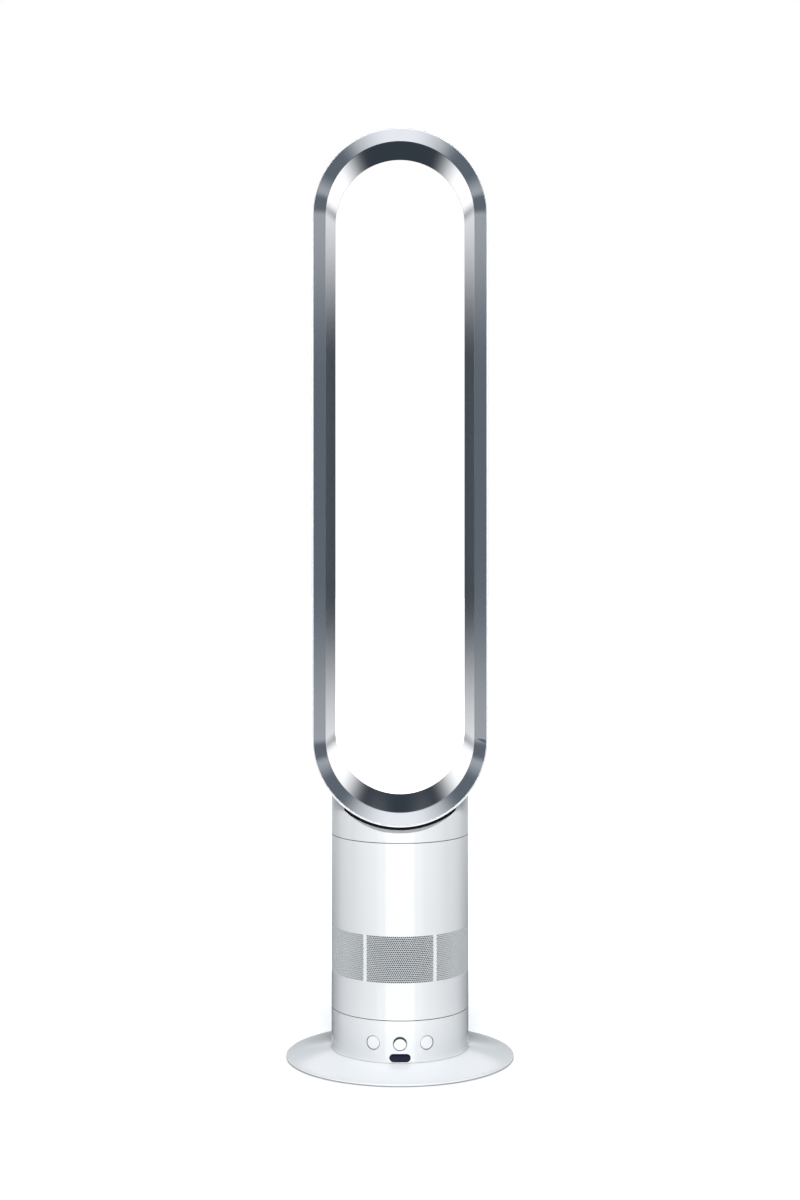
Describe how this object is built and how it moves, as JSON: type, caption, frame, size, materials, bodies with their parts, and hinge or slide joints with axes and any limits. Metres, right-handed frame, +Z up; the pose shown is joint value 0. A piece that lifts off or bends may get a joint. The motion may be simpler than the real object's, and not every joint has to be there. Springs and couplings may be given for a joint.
{
  "type": "bladeless tower fan",
  "caption": "Free-standing tower fan: a drum-shaped body with a perforated air inlet, on a round base, under a tall hollow loop that blows air out of a slot round its inside.",
  "frame": {"origin": "centre of the base plate's underside, on the surface that the fan stands on", "axes": "+Z up along the body's axis, -Y towards the front with the buttons, +X to the right seen from the front"},
  "size_m": [0.248, 0.248, 1.0064],
  "materials": {
    "white_casing": "glossy moulded white",
    "white_grille": "glossy, perforated",
    "silver_paint": "metallic silver paint on a moulding",
    "inner_plastic": "plain grey moulding",
    "gear_plastic": "natural gear plastic",
    "black_lens": "dark tinted window",
    "black_plastic": "moulded black",
    "steel": "zinc-plated",
    "cast_ballast": "raw casting",
    "bronze": "sintered",
    "winding": "enamelled wire on steel",
    "board_green": "solder mask",
    "foam": "open-cell foam",
    "rubber": "soft matte"
  },
  "bodies": {
    "base": {"base_plate": "white_casing", "ballast_ring": "cast_ballast", "bottom_cover": "inner_plastic", "foot_ring": "rubber", "cover_screws": "steel", "fixed_gear": "gear_plastic", "gear_screws": "steel", "thrust_washer": "gear_plastic", "spindle_washer": "steel", "washer_screws": "steel", "cord_grommet": "rubber"},
    "turret": {"lower_casing": "white_casing", "chassis": "inner_plastic", "chassis_screws": "steel", "swivel_bush": "bronze", "swivel_motor": "steel", "motor_screws": "steel", "control_board": "board_green", "board_parts": "black_plastic", "board_screws": "steel", "button_carrier": "inner_plastic", "button_board": "board_green", "switches": "black_plastic", "window": "black_lens", "ir_receiver": "black_plastic", "body_screws": "steel", "main_casing": "white_casing", "inlet_grille": "white_grille", "dust_mesh": "black_plastic", "floor_foam": "foam", "housing_seal": "rubber", "impeller_housing": "inner_plastic", "housing_screws": "steel", "motor_cup": "inner_plastic", "diffuser": "inner_plastic", "cup_screws": "steel", "stator": "winding", "motor_mounts": "rubber", "bearings": "steel", "neck_seal": "rubber", "neck_duct": "inner_plastic", "neck_screws": "steel", "collar": "white_casing", "saddle_pad": "rubber", "nozzle_outer": "white_casing", "nozzle_inner": "silver_paint", "slot_spacers": "silver_paint", "loop_seal": "rubber"},
    "fan_rotor": {"impeller": "black_plastic", "motor_shaft": "steel", "rotor": "steel"},
    "pinion": {"swivel_pinion": "gear_plastic", "pinion_shaft": "steel"},
    "power_key": {"power_button": "white_casing", "power_plunger": "black_plastic"},
    "left_key": {"left_button": "white_casing", "left_plunger": "black_plastic"},
    "right_key": {"right_button": "white_casing", "right_plunger": "black_plastic"}
  },
  "joints": [
    {"name": "swivel", "type": "hinge", "parent": "base", "child": "turret", "pos_m": [0, 0, 0.02], "axis": [0, 0, 1], "range_deg": [-45, 45]},
    {"name": "impeller_spin", "type": "hinge", "parent": "turret", "child": "fan_rotor", "pos_m": [0, 0, 0.17], "axis": [0, 0, 1], "continuous": true},
    {"name": "pinion_turn", "type": "hinge", "parent": "turret", "child": "pinion", "pos_m": [-0.03755, 0, 0.01], "axis": [0, 0, 1], "range_deg": [-180, 180]},
    {"name": "power_press", "type": "slide", "parent": "turret", "child": "power_key", "axis": [0, 1, 0], "range_m": [0, 0.0012], "stiffness_N_per_m": 800, "springref_m": -0.0008},
    {"name": "left_press", "type": "slide", "parent": "turret", "child": "left_key", "axis": [0.3827, 0.9239, 0], "range_m": [0, 0.0012], "stiffness_N_per_m": 800, "springref_m": -0.0008},
    {"name": "right_press", "type": "slide", "parent": "turret", "child": "right_key", "axis": [-0.3827, 0.9239, 0], "range_m": [0, 0.0012], "stiffness_N_per_m": 800, "springref_m": -0.0008}
  ],
  "couplings": [
    {"joint": "pinion_turn", "follows": "swivel", "ratio": 4}
  ]
}
